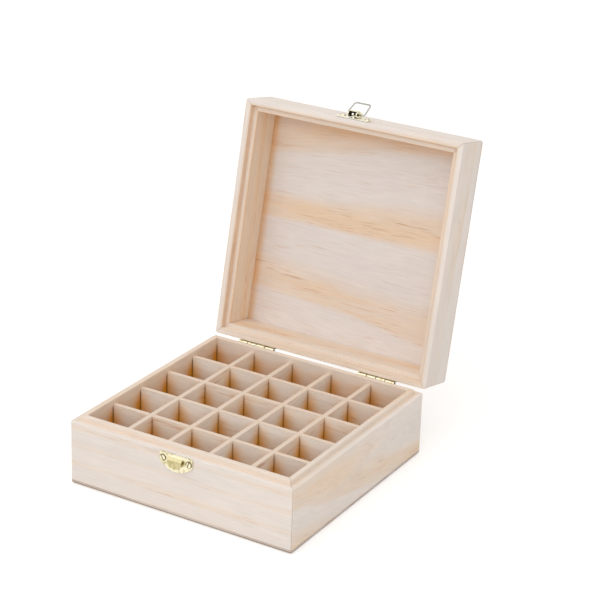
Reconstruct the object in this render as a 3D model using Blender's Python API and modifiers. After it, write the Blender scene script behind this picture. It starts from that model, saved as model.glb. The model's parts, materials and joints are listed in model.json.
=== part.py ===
"""Essential oil storage box: a pine case with a hinged lid, an egg-crate divider and a brass toggle catch.

Metres, +Z up. The origin is the middle of the underside, +X is to the right and +Y to the back.
Everything is drawn with the lid shut. The lid is then turned open about its hinge pins.
"""

from math import cos, hypot, pi, radians, sin, sqrt, tan

import bmesh
import bpy
from mathutils import Matrix, Vector

# Case
BOX_WIDTH = 0.185
BOX_DEPTH = 0.185
WALL_THICKNESS = 0.009
BOTTOM_THICKNESS = 0.003
BASE_HEIGHT = 0.049  # floor to the ledge that the lid closes on
LEDGE_WIDTH = 0.0053  # outer face to the lip
LIP_HEIGHT = 0.0037  # lip above the ledge
LIP_CLEARANCE = 0.0004  # lip to the rim beside it
LIP_HEADROOM = 0.0008  # lip to the rebate above it
LID_HEIGHT = 0.034
TOP_THICKNESS = 0.0024
PARTING_GAP = 0.0003
GLUE_GAP = 0.0002
CORNER_RADIUS = 0.0022
BOTTOM_EDGE_RADIUS = 0.0021
TOP_EDGE_RADIUS = 0.0017
ARRIS = 0.0004  # sanded edges along the parting line and the lip
LID_OPEN_ANGLE = radians(102)

# Egg crate
CELLS_ACROSS = 5
CELLS_DEEP = 5
DIVIDER_THICKNESS = 0.0036
DIVIDER_DROP = 0.0002  # divider tops below the ledge
LAP_CLEARANCE = 0.00015  # each side of a halved crossing

# Brass fittings
SEAT_GAP = 0.0003  # a fitting or a divider to what it seats on
RUNNING_GAP = 0.0003  # between pieces that move past each other
FITTINGS_X = -0.0013  # the hinges and the catch sit a little left of the middle
HINGE_END_DISTANCE = 0.03975  # end of the box to the middle of a hinge
HINGE_WIDTH = 0.0315
HINGE_KNUCKLES = 4
HINGE_KNUCKLE_GAP = 0.0005
HINGE_LEAF_HEIGHT = 0.012  # pin axis to the leaf's free edge
HINGE_SHEET = 0.0006
HINGE_BARREL_RADIUS = 0.0015
HINGE_PIN_RADIUS = 0.00065
HINGE_PIN_RECESS = 0.0012  # pin end inside the open end of the barrel
HINGE_CURL_SWEEP = radians(288)
HINGE_CORNER_RADIUS = 0.0015
HINGE_SCREW_SPACING = 0.018
HINGE_SCREW_DROP = 0.0075  # pin axis to the screws

SCREW_HEAD_RADIUS = 0.0019  # countersunk holes
SCREW_SHANK_RADIUS = 0.0011

PLATE_WIDTH = 0.027  # strike plate and catch plate
PLATE_HEIGHT = 0.0135
PLATE_SIDE = 0.0063  # straight stretch of its two sides
PLATE_SHEET = 0.0007
PLATE_CURVE_POWER = 1.5  # 2 is an ellipse, 1 a triangle
PLATE_EDGE_INSET = 0.0003  # straight edge of the plate to the edge of the wood
PLATE_SCREW_SPACING = 0.0213
STRIKE_SCREW_DROP = 0.0045
CATCH_SCREW_RISE = 0.0065

TONGUE_WIDTH = 0.0114
TONGUE_SHEET = 0.0006  # drawn a little thinner than its plate
TONGUE_LENGTH = 0.0074
TONGUE_DROP = 0.002  # plate's straight edge to the tongue's root
TONGUE_RISE = 0.0018  # length of the slope from the plate to the tongue
TONGUE_FLARE = 0.0003
TONGUE_CORNER_RADIUS = 0.0035
HOOK_DROP = 0.0029  # tongue's root to the middle of the hooked wire

LEVER_WIDTH = 0.0077
LEVER_SHEET = 0.0007
LEVER_PIN_RISE = 0.003  # rim of the lid to the lever's pin
LEVER_PIN_OUT = 0.0036  # face of the lid to the lever's pin
LEVER_TOE_RADIUS = 0.0022  # round toe of the cheeks, about the pin
LEVER_CROWN = 0.0028  # pin to the top of the lever
LEVER_LENGTH = 0.0092  # pin to the heel
LEVER_WEB_LEAD = 0.0005  # the web between the cheeks ends this far past the pin, clear of the lug
LEVER_SHOULDER = 0.72  # how far along the lever its crown stays high
LEVER_HEEL_INWARD = 0.0002  # the top of the heel lies this much nearer the lid than the pin
LEVER_TOE_SWEEP = radians(148)  # round part of the toe, from the lid's side outwards
LEVER_BEND_RADIUS = 0.0008
LEVER_LIP_LENGTH = 0.0012
LEVER_LIP_WIDTH = 0.0054
LEVER_LIP_INWARD = (0.0011, 0.0008)  # pin to the lip's root and to its free edge, away from the lid
PIN_RADIUS = 0.00055
PIN_HEAD_RADIUS = 0.00095
PIN_HEAD_THICKNESS = 0.0004
LUG_WIDTH = 0.0014
LUG_SHEET = 0.00045
LOOP_FOOT_ALONG = 0.0037  # lever's pin to the loop's feet
LOOP_FOOT_INWARD = 0.0002  # the feet lie this much nearer the lid than the pin
WIRE_RADIUS = 0.0006
LOOP_TAPER = 0.0008  # each leg stands this much wider at the foot than at the bar
LOOP_FOOT_RADIUS = 0.0024
LOOP_CORNER_RADIUS = 0.0018
LOOP_REST_ANGLE = radians(38)  # above the lid's face, thrown back over the lever

# Places that follow from the sizes
HALF_WIDTH = BOX_WIDTH / 2
HALF_DEPTH = BOX_DEPTH / 2
WALL_FOOT = BOTTOM_THICKNESS + GLUE_GAP
LIP_TOP = BASE_HEIGHT + LIP_HEIGHT
RIM = BASE_HEIGHT + PARTING_GAP
RIM_WIDTH = LEDGE_WIDTH - LIP_CLEARANCE
REBATE_TOP = LIP_TOP + LIP_HEADROOM
LID_TOP = RIM + LID_HEIGHT
LID_WALL_TOP = LID_TOP - TOP_THICKNESS - GLUE_GAP
INNER_HALF_WIDTH = HALF_WIDTH - WALL_THICKNESS
INNER_HALF_DEPTH = HALF_DEPTH - WALL_THICKNESS
CUT_MARGIN = 0.004  # how far a cutter reaches past what it cuts

HINGE_AXIS_Y = HALF_DEPTH + SEAT_GAP + HINGE_BARREL_RADIUS
HINGE_AXIS_Z = BASE_HEIGHT + PARTING_GAP / 2

PLATE_FRONT = SEAT_GAP + PLATE_SHEET  # face of the wood to the front of either plate
STRIKE_TOP = BASE_HEIGHT - PLATE_EDGE_INSET
TONGUE_ROOT = STRIKE_TOP - TONGUE_DROP
HOOK_OUT = PLATE_FRONT + RUNNING_GAP + WIRE_RADIUS
HOOK_Z = TONGUE_ROOT - HOOK_DROP
TONGUE_OUT = HOOK_OUT + WIRE_RADIUS + RUNNING_GAP + TONGUE_SHEET / 2

LEVER_PIN_Z = RIM + LEVER_PIN_RISE
FOOT_Z = LEVER_PIN_Z + LOOP_FOOT_ALONG
FOOT_OUT = LEVER_PIN_OUT - LOOP_FOOT_INWARD
LOOP_LENGTH = hypot(FOOT_Z - HOOK_Z, FOOT_OUT - HOOK_OUT)
LOOP_HALF_WIDTH = TONGUE_WIDTH / 2 + RUNNING_GAP + WIRE_RADIUS

WOOD = "pine"
PLYWOOD = "plywood"
THIN_WOOD = "divider_wood"
BRASS = "brass"
STEEL = "steel_wire"
FINISHES = {  # colour, roughness, metallic
    WOOD: ((0.87, 0.76, 0.66), 0.62, 0.0),
    PLYWOOD: ((0.55, 0.43, 0.34), 0.7, 0.0),
    THIN_WOOD: ((0.82, 0.66, 0.52), 0.65, 0.0),
    BRASS: ((0.83, 0.75, 0.47), 0.24, 1.0),
    STEEL: ((0.62, 0.61, 0.57), 0.3, 1.0),
}


def clear_scene():
    for obj in list(bpy.data.objects):
        bpy.data.objects.remove(obj, do_unlink=True)


def new_collection(name):
    collection = bpy.data.collections.new(name)
    bpy.context.scene.collection.children.link(collection)
    return collection


def new_material(name):
    colour, roughness, metallic = FINISHES[name]
    material = bpy.data.materials.new(name)
    material.use_nodes = True
    shader = material.node_tree.nodes["Principled BSDF"]
    shader.inputs["Base Color"].default_value = (*colour, 1.0)
    shader.inputs["Roughness"].default_value = roughness
    shader.inputs["Metallic"].default_value = metallic
    return material


def piece_from(name, bm, finish):
    """A finished piece of the box, in its own material."""
    bmesh.ops.recalc_face_normals(bm, faces=bm.faces[:])
    mesh = bpy.data.meshes.new(name)
    bm.to_mesh(mesh)
    bm.free()
    mesh.shade_smooth()
    mesh.set_sharp_from_angle(angle=radians(35))
    obj = bpy.data.objects.new(name, mesh)
    obj.data.materials.append(MATERIALS[finish])
    PARTS.objects.link(obj)
    return obj


def cutter_from(name, bm):
    """A shape that only cuts or bounds a piece, and never shows."""
    bmesh.ops.recalc_face_normals(bm, faces=bm.faces[:])
    mesh = bpy.data.meshes.new(name)
    bm.to_mesh(mesh)
    bm.free()
    obj = bpy.data.objects.new(name, mesh)
    obj.hide_render = True
    obj.display_type = "WIRE"
    CUTTERS.objects.link(obj)
    return obj


def boolean(obj, operation, other):
    modifier = obj.modifiers.new(f"{operation.lower()} {other.name}", "BOOLEAN")
    modifier.operation = operation
    modifier.object = other


def thicken(obj, thickness):
    """Gives a bent open sheet its thickness, half to each side."""
    modifier = obj.modifiers.new("sheet thickness", "SOLIDIFY")
    modifier.thickness = thickness
    modifier.offset = 0.0
    modifier.use_even_offset = True


def new_pivot(name, location, parent=None, parent_location=None):
    """An empty on a joint's axis. Locations are those of the shut box."""
    pivot = bpy.data.objects.new(name, None)
    pivot.empty_display_size = 0.01
    pivot.location = location
    PARTS.objects.link(pivot)
    if parent:
        pivot.parent = parent
        pivot.matrix_parent_inverse = Matrix.Translation(-Vector(parent_location))
    return pivot


def attach(objects, pivot, location):
    for obj in objects:
        obj.parent = pivot
        obj.matrix_parent_inverse = Matrix.Translation(-Vector(location))


# Basic shapes


def add_box(bm, low, high):
    size = [b - a for a, b in zip(low, high)]
    middle = [(a + b) / 2 for a, b in zip(low, high)]
    place = Matrix.Translation(middle) @ Matrix.Diagonal((*size, 1.0))
    return bmesh.ops.create_cube(bm, size=1.0, matrix=place)["verts"]


def rounded_block(half_x, half_y, low, high, corner, bottom=0.0, top=0.0):
    """A block with rounded upright corners. A fillet is limited by the corner and by the block's height."""
    bm = bmesh.new()
    add_box(bm, (-half_x, -half_y, low), (half_x, half_y, high))
    if corner:
        upright = [e for e in bm.edges if abs(e.verts[0].co.z - e.verts[1].co.z) > 1e-6]
        bmesh.ops.bevel(
            bm, geom=upright, offset=corner, segments=6, profile=0.5, affect="EDGES", material=-1
        )
    for level, radius in ((low, bottom), (high, top)):
        if not radius:
            continue
        radius = min(radius, 0.8 * (high - low))
        if corner:
            radius = min(radius, 0.96 * corner)
        ring = [e for e in bm.edges if all(abs(v.co.z - level) < 1e-7 for v in e.verts)]
        segments = 4 if radius > 2 * ARRIS else 2
        bmesh.ops.bevel(
            bm, geom=ring, offset=radius, segments=segments, profile=0.5, affect="EDGES", material=-1
        )
    return bm


def well(half_x, half_y, low, mouth, arris):
    """A rectangular well whose mouth is eased outwards by the arris."""
    bm = bmesh.new()
    add_box(bm, (-half_x, -half_y, low), (half_x, half_y, mouth - arris))
    for step, grow in ((arris, arris), (CUT_MARGIN, CUT_MARGIN)):
        bm.faces.ensure_lookup_table()
        lid = [max(bm.faces, key=lambda face: face.calc_center_median().z)]
        made = bmesh.ops.extrude_face_region(bm, geom=lid)["geom"]
        bmesh.ops.delete(bm, geom=lid, context="FACES_ONLY")
        for vert in (item for item in made if isinstance(item, bmesh.types.BMVert)):
            vert.co += Vector((grow if vert.co.x > 0 else -grow, grow if vert.co.y > 0 else -grow, step))
    return bm


def prism(outline, low, high, place):
    """The outline, a list of (x, y) points, raised from low to high and then put in its place."""
    bm = bmesh.new()
    face = bm.faces.new([bm.verts.new((x, y, low)) for x, y in outline])
    made = bmesh.ops.extrude_face_region(bm, geom=[face])["geom"]
    raised = [item for item in made if isinstance(item, bmesh.types.BMVert)]
    bmesh.ops.translate(bm, verts=raised, vec=(0, 0, high - low))
    bmesh.ops.transform(bm, matrix=place, verts=bm.verts[:])
    return bm


def bent_sheet(path, stations):
    """An open surface that follows path, a list of (y, z) points, across the given x stations."""
    bm = bmesh.new()
    verts = [bm.verts.new((stations[0], y, z)) for y, z in path]
    edges = [bm.edges.new(pair) for pair in zip(verts, verts[1:])]
    for here, there in zip(stations, stations[1:]):
        made = bmesh.ops.extrude_edge_only(bm, edges=edges)["geom"]
        verts = [item for item in made if isinstance(item, bmesh.types.BMVert)]
        bmesh.ops.translate(bm, verts=verts, vec=(there - here, 0, 0))
        edges = [item for item in made if isinstance(item, bmesh.types.BMEdge)]
        edges = [edge for edge in edges if edge.verts[0] in verts and edge.verts[1] in verts]
    return bm


def add_cylinder(bm, radius, length, middle, direction, sides=16):
    turn = Vector((0, 0, 1)).rotation_difference(Vector(direction)).to_matrix().to_4x4()
    place = Matrix.Translation(middle) @ turn
    bmesh.ops.create_cone(
        bm, cap_ends=True, segments=sides, radius1=radius, radius2=radius, depth=length, matrix=place
    )


def arc(centre, radius, start, end, steps):
    """Points on an arc, from the start angle to the end angle, both included."""
    angles = [start + (end - start) * step / steps for step in range(steps + 1)]
    return [(centre[0] + radius * cos(a), centre[1] + radius * sin(a)) for a in angles]


def filleted(corners, radius, steps):
    """The open path through the corners, each inner corner rounded to the radius."""
    points = [Vector(corners[0])]
    for before, corner, after in zip(corners, corners[1:], corners[2:]):
        back = (Vector(before) - Vector(corner)).normalized()
        ahead = (Vector(after) - Vector(corner)).normalized()
        half_angle = back.angle(ahead) / 2
        reach = radius / tan(half_angle)
        centre = Vector(corner) + (back + ahead).normalized() * radius / sin(half_angle)
        first = Vector(corner) + back * reach - centre
        last = Vector(corner) + ahead * reach - centre
        points += [centre + radius * first.slerp(last, step / steps) for step in range(steps + 1)]
    return points + [Vector(corners[-1])]


def turned(profile, steps):
    """A turned solid about Z. The profile is (radius, z) points from the top down its outer side."""
    mesh = bpy.data.meshes.new("turned profile")
    edges = [(index, index + 1) for index in range(len(profile) - 1)]
    mesh.from_pydata([(radius, 0, z) for radius, z in profile], edges, [])
    blank = bpy.data.objects.new("turned profile", mesh)
    CUTTERS.objects.link(blank)
    screw = blank.modifiers.new("turn", "SCREW")
    screw.steps = steps
    screw.render_steps = steps
    screw.use_merge_vertices = True
    screw.merge_threshold = 0.00001
    graph = bpy.context.evaluated_depsgraph_get()
    solid = bpy.data.meshes.new_from_object(blank.evaluated_get(graph))
    bpy.data.objects.remove(blank)
    return solid


def copies(solid, places):
    """One mesh that holds a copy of the solid at each place."""
    bm = bmesh.new()
    for place in places:
        copy = bmesh.new()
        copy.from_mesh(solid)
        bmesh.ops.transform(copy, matrix=place, verts=copy.verts[:])
        mesh = bpy.data.meshes.new("copy")
        copy.to_mesh(mesh)
        copy.free()
        bm.from_mesh(mesh)
        bpy.data.meshes.remove(mesh)
    return bm


# Screw holes

FRONT = Matrix.Rotation(radians(90), 4, "X")  # turns +Z to face the front, -Y
BACK = Matrix.Rotation(radians(-90), 4, "X")  # turns +Z to face the back, +Y


def countersink():
    """Cutter for one countersunk hole. Z = 0 is the face that it is let into."""
    cone_depth = SCREW_HEAD_RADIUS - SCREW_SHANK_RADIUS
    mouth = [(0, CUT_MARGIN), (SCREW_HEAD_RADIUS, CUT_MARGIN), (SCREW_HEAD_RADIUS, 0)]
    bore = [(SCREW_SHANK_RADIUS, -cone_depth), (SCREW_SHANK_RADIUS, -CUT_MARGIN), (0, -CUT_MARGIN)]
    return turned([*mouth, *bore], 16)


def cut_screw_holes(piece, places):
    holes = cutter_from(f"{piece.name}_holes", copies(countersink(), places))
    boolean(piece, "DIFFERENCE", holes)
    return holes


# Case

SIDES = {"front": 0, "right": 90, "back": 180, "left": 270}


def mitred_walls(prefix, form, low, high, finish):
    """The four boards of a frame: the form cut on the mitres of its corners."""
    walls = []
    for side, turn in SIDES.items():
        half_length, reach = (HALF_WIDTH, HALF_DEPTH) if turn % 180 == 0 else (HALF_DEPTH, HALF_WIDTH)
        bm = bmesh.new()
        inner = WALL_THICKNESS + CUT_MARGIN
        add_box(bm, (-1, -reach - CUT_MARGIN, low), (1, inner - reach, high))
        for vert in bm.verts:
            depth = vert.co.y + reach
            end = half_length - depth - GLUE_GAP / sqrt(2)
            vert.co.x = end if vert.co.x > 0 else -end
        bmesh.ops.rotate(bm, verts=bm.verts[:], matrix=Matrix.Rotation(radians(turn), 3, "Z"))
        wall = piece_from(f"{prefix}_{side}_wall", bm, finish)
        boolean(wall, "INTERSECT", form)
        walls.append(wall)
    return walls


def base_case():
    """The base's walls with their lip, and the panel under them."""
    form = cutter_from(
        "base_frame", rounded_block(HALF_WIDTH, HALF_DEPTH, WALL_FOOT, BASE_HEIGHT, CORNER_RADIUS, top=ARRIS)
    )
    lip = rounded_block(
        HALF_WIDTH - LEDGE_WIDTH, HALF_DEPTH - LEDGE_WIDTH, BASE_HEIGHT - CUT_MARGIN, LIP_TOP, 0, top=ARRIS
    )
    boolean(form, "UNION", cutter_from("base_lip", lip))
    inside = well(INNER_HALF_WIDTH, INNER_HALF_DEPTH, -CUT_MARGIN, LIP_TOP, ARRIS)
    boolean(form, "DIFFERENCE", cutter_from("base_inside", inside))
    mitred_walls("base", form, 0, LIP_TOP + CUT_MARGIN, WOOD)
    panel = rounded_block(
        HALF_WIDTH, HALF_DEPTH, 0, BOTTOM_THICKNESS, CORNER_RADIUS, bottom=BOTTOM_EDGE_RADIUS
    )
    piece_from("bottom_panel", panel, PLYWOOD)


def lid_case():
    """The lid's walls, rebated to close round the base's lip, and the panel on them."""
    form = cutter_from(
        "lid_frame", rounded_block(HALF_WIDTH, HALF_DEPTH, RIM, LID_WALL_TOP, CORNER_RADIUS, bottom=ARRIS)
    )
    inside = bmesh.new()
    inner = Vector((INNER_HALF_WIDTH, INNER_HALF_DEPTH, LID_TOP))
    add_box(inside, (-inner.x, -inner.y, BASE_HEIGHT - CUT_MARGIN), inner)
    hollow = cutter_from("lid_inside", inside)
    boolean(form, "DIFFERENCE", hollow)
    # The rebate is a well turned mouth down, so that its mouth is eased as the lip's is.
    rebate = well(HALF_WIDTH - RIM_WIDTH, HALF_DEPTH - RIM_WIDTH, -REBATE_TOP, -RIM, ARRIS)
    bmesh.ops.rotate(rebate, verts=rebate.verts[:], matrix=Matrix.Rotation(pi, 3, "X"))
    seat = cutter_from("lid_rebate", rebate)
    boolean(form, "DIFFERENCE", seat)
    walls = mitred_walls("lid", form, BASE_HEIGHT - CUT_MARGIN, LID_TOP, WOOD)
    panel = rounded_block(
        HALF_WIDTH, HALF_DEPTH, LID_TOP - TOP_THICKNESS, LID_TOP, CORNER_RADIUS, top=TOP_EDGE_RADIUS
    )
    return [*walls, piece_from("lid_panel", panel, WOOD), form, hollow, seat]


# Egg crate


def divider_lines(inner_half, cells):
    """Middles of the dividers that part the inner width into equal cells."""
    clear = (2 * inner_half - (cells - 1) * DIVIDER_THICKNESS) / cells
    pitch = clear + DIVIDER_THICKNESS
    return [-inner_half + step * pitch - DIVIDER_THICKNESS / 2 for step in range(1, cells)]


def comb_outline(half_length, foot, top, crossings, slot_from_top):
    """Side view of a divider: a board with a slot over half its height at each crossing."""
    half_slot = DIVIDER_THICKNESS / 2 + LAP_CLEARANCE
    middle = (foot + top) / 2
    slotted, plain = (top, foot) if slot_from_top else (foot, top)
    slot_end = middle - LAP_CLEARANCE if slot_from_top else middle + LAP_CLEARANCE
    outline = [(-half_length, plain), (-half_length, slotted)]
    for line in crossings:
        outline += [(line - half_slot, slotted), (line - half_slot, slot_end)]
        outline += [(line + half_slot, slot_end), (line + half_slot, slotted)]
    return outline + [(half_length, slotted), (half_length, plain)]


def egg_crate():
    foot = BOTTOM_THICKNESS + SEAT_GAP
    top = BASE_HEIGHT - DIVIDER_DROP
    columns = divider_lines(INNER_HALF_WIDTH, CELLS_ACROSS)
    rows = divider_lines(INNER_HALF_DEPTH, CELLS_DEEP)
    half = DIVIDER_THICKNESS / 2
    along_x = comb_outline(INNER_HALF_WIDTH - SEAT_GAP, foot, top, columns, True)
    along_y = comb_outline(INNER_HALF_DEPTH - SEAT_GAP, foot, top, rows, False)
    for number, y in enumerate(rows, 1):
        bm = prism(along_x, -half, half, Matrix.Translation((0, y, 0)) @ FRONT)
        piece_from(f"lengthwise_divider_{number}", bm, THIN_WOOD)
    quarter_turn = Matrix.Rotation(radians(90), 4, "Z")
    for number, x in enumerate(columns, 1):
        bm = prism(along_y, -half, half, Matrix.Translation((x, 0, 0)) @ quarter_turn @ FRONT)
        piece_from(f"crosswise_divider_{number}", bm, THIN_WOOD)


# Hinges


def hinge_leaf(name, centre_x, first_knuckle, upward):
    """Sheet leaf whose edge is curled round the pin, with every other knuckle cut away."""
    side = 1 if upward else -1
    middle_radius = HINGE_BARREL_RADIUS - HINGE_SHEET / 2
    notch = HINGE_BARREL_RADIUS + RUNNING_GAP
    curl = arc((0, 0), middle_radius, pi, pi - HINGE_CURL_SWEEP, 28)
    path = [(-middle_radius, HINGE_LEAF_HEIGHT), (-middle_radius, notch)]
    path += [(y, -z) for y, z in curl]
    path = [(HINGE_AXIS_Y + y, HINGE_AXIS_Z + side * z) for y, z in path]
    pitch = HINGE_WIDTH / HINGE_KNUCKLES
    left = centre_x - HINGE_WIDTH / 2
    half_gap = HINGE_KNUCKLE_GAP / 2
    stations = [left]
    for joint in range(1, HINGE_KNUCKLES):
        stations += [left + joint * pitch - half_gap, left + joint * pitch + half_gap]
    stations.append(left + HINGE_WIDTH)
    bm = bent_sheet(path, stations)
    surplus = []
    for face in bm.faces:
        middle = face.calc_center_median()
        place = (middle.x - left) / pitch
        in_joint = abs(place - round(place)) * pitch < half_gap
        own = int(place) % 2 == first_knuckle and not in_joint
        if side * (middle.z - HINGE_AXIS_Z) < notch and not own:
            surplus.append(face)
    bmesh.ops.delete(bm, geom=surplus, context="FACES")
    free_edge = HINGE_AXIS_Z + side * HINGE_LEAF_HEIGHT
    corners = []
    for vert in bm.verts:
        at_end = min(abs(vert.co.x - end) for end in (stations[0], stations[-1])) < 1e-6
        if at_end and abs(vert.co.z - free_edge) < 1e-6:
            corners.append(vert)
    bmesh.ops.bevel(
        bm, geom=corners, offset=HINGE_CORNER_RADIUS, segments=3, profile=0.5, affect="VERTICES", material=-1
    )
    leaf = piece_from(name, bm, BRASS)
    thicken(leaf, HINGE_SHEET)
    return leaf


def hinge_screw_places(centre_x, upward):
    z = HINGE_AXIS_Z + (HINGE_SCREW_DROP if upward else -HINGE_SCREW_DROP)
    face = HALF_DEPTH + SEAT_GAP + HINGE_SHEET
    xs = (centre_x - HINGE_SCREW_SPACING / 2, centre_x + HINGE_SCREW_SPACING / 2)
    return [Matrix.Translation((x, face, z)) @ BACK for x in xs]


def hinges():
    """Both hinges. Returns the pieces and cutters that go with the lid."""
    with_lid = []
    offset = HALF_WIDTH - HINGE_END_DISTANCE
    for side, centre_x in (("left", FITTINGS_X - offset), ("right", FITTINGS_X + offset)):
        base_leaf = hinge_leaf(f"{side}_hinge_base_leaf", centre_x, 0, False)
        lid_leaf = hinge_leaf(f"{side}_hinge_lid_leaf", centre_x, 1, True)
        pin = bmesh.new()
        length = HINGE_WIDTH - 2 * HINGE_PIN_RECESS
        add_cylinder(pin, HINGE_PIN_RADIUS, length, (centre_x, HINGE_AXIS_Y, HINGE_AXIS_Z), (1, 0, 0))
        piece_from(f"{side}_hinge_pin", pin, BRASS)
        cut_screw_holes(base_leaf, hinge_screw_places(centre_x, False))
        with_lid += [lid_leaf, cut_screw_holes(lid_leaf, hinge_screw_places(centre_x, True))]
    return with_lid


# Catch


def shield_outline():
    """Half-open shield: a straight edge at v = 0, straight sides and a curved point at v = PLATE_HEIGHT."""
    half = PLATE_WIDTH / 2
    drop = PLATE_HEIGHT - PLATE_SIDE
    steps = 12
    curve = []
    for step in range(2 * steps + 1):
        angle = pi * step / (2 * steps)
        across = abs(cos(angle)) ** (2 / PLATE_CURVE_POWER)
        down = sin(angle) ** (2 / PLATE_CURVE_POWER)
        curve.append(((half if angle < pi / 2 else -half) * across, PLATE_SIDE + drop * down))
    return [(-half, 0), (half, 0), *curve]


def shield_plate(name, edge_z, upward):
    """A shield of sheet brass on the front face, its straight edge at edge_z."""
    side = 1 if upward else -1
    outline = [(x, side * v) for x, v in shield_outline()]
    place = Matrix.Translation((FITTINGS_X, -HALF_DEPTH, edge_z)) @ FRONT
    return piece_from(name, prism(outline, SEAT_GAP, PLATE_FRONT, place), BRASS)


def plate_screw_places(z):
    xs = (FITTINGS_X - PLATE_SCREW_SPACING / 2, FITTINGS_X + PLATE_SCREW_SPACING / 2)
    return [Matrix.Translation((x, -HALF_DEPTH - PLATE_FRONT, z)) @ FRONT for x in xs]


def strike():
    """The plate on the base, with the tongue that the wire loop hooks under."""
    plate = shield_plate("strike_plate", STRIKE_TOP, False)
    middle = SEAT_GAP + PLATE_SHEET / 2
    corners = [
        (middle, TONGUE_ROOT + PLATE_SHEET),
        (middle, TONGUE_ROOT),
        (TONGUE_OUT, TONGUE_ROOT - TONGUE_RISE),
        (TONGUE_OUT + TONGUE_FLARE, TONGUE_ROOT - TONGUE_LENGTH),
    ]
    path = [(-HALF_DEPTH - point.x, point.y) for point in filleted(corners, PLATE_SHEET, 4)]
    half = TONGUE_WIDTH / 2
    bm = bent_sheet(path, [FITTINGS_X - half, FITTINGS_X + half])
    tip = min(v.co.z for v in bm.verts)
    bmesh.ops.bevel(
        bm,
        geom=[v for v in bm.verts if v.co.z < tip + 1e-6],
        offset=TONGUE_CORNER_RADIUS,
        segments=5,
        profile=0.5,
        affect="VERTICES",
        material=-1,
    )
    tongue = cutter_from("strike_tongue", bm)
    thicken(tongue, TONGUE_SHEET)
    boolean(plate, "UNION", tongue)
    cut_screw_holes(plate, plate_screw_places(STRIKE_TOP - STRIKE_SCREW_DROP))


def lug():
    """The plate's middle lug, curled round the lever's pin."""
    bore = PIN_RADIUS + RUNNING_GAP / 2
    radius = bore + LUG_SHEET / 2
    centre = (-HALF_DEPTH - LEVER_PIN_OUT, LEVER_PIN_Z)
    foot = (-HALF_DEPTH - SEAT_GAP - PLATE_SHEET / 2, LEVER_PIN_Z + radius)
    path = [foot, *arc(centre, radius, pi / 2, 2 * pi, 16)]
    half = LUG_WIDTH / 2
    form = cutter_from("catch_lug", bent_sheet(path, [FITTINGS_X - half, FITTINGS_X + half]))
    thicken(form, LUG_SHEET)
    return form


def catch_plate():
    """The catch's plate on the lid and the lever's pin."""
    edge = RIM + PLATE_EDGE_INSET
    plate = shield_plate("catch_plate", edge, True)
    form = lug()
    boolean(plate, "UNION", form)
    holes = cut_screw_holes(plate, plate_screw_places(edge + CATCH_SCREW_RISE))
    half = LEVER_WIDTH / 2 + SEAT_GAP
    end = half + PIN_HEAD_THICKNESS
    profile = [(0, end), (PIN_HEAD_RADIUS, end), (PIN_HEAD_RADIUS, half), (PIN_RADIUS, half)]
    profile += [(radius, -z) for radius, z in reversed(profile)]
    place = Matrix.Translation((FITTINGS_X, -HALF_DEPTH - LEVER_PIN_OUT, LEVER_PIN_Z))
    turn = Matrix.Rotation(radians(90), 4, "Y")
    pin = piece_from("catch_pin", copies(turned(profile, 14), [place @ turn]), BRASS)
    return [plate, form, holes, pin]


def lever_crown(inset):
    """Top line of the lever's side view about its pin: u runs up the lid and v out from it."""
    heel = LEVER_LENGTH - inset
    crown = LEVER_CROWN - inset
    start = Vector((0, crown))
    shoulder = Vector((LEVER_SHOULDER * heel, crown))
    end = Vector((heel, -LEVER_HEEL_INWARD))
    steps = 10
    points = []
    for step in range(steps + 1):
        t = step / steps
        points.append(start * (1 - t) ** 2 + shoulder * 2 * t * (1 - t) + end * t**2)
    return [(point.x, point.y) for point in points]


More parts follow.
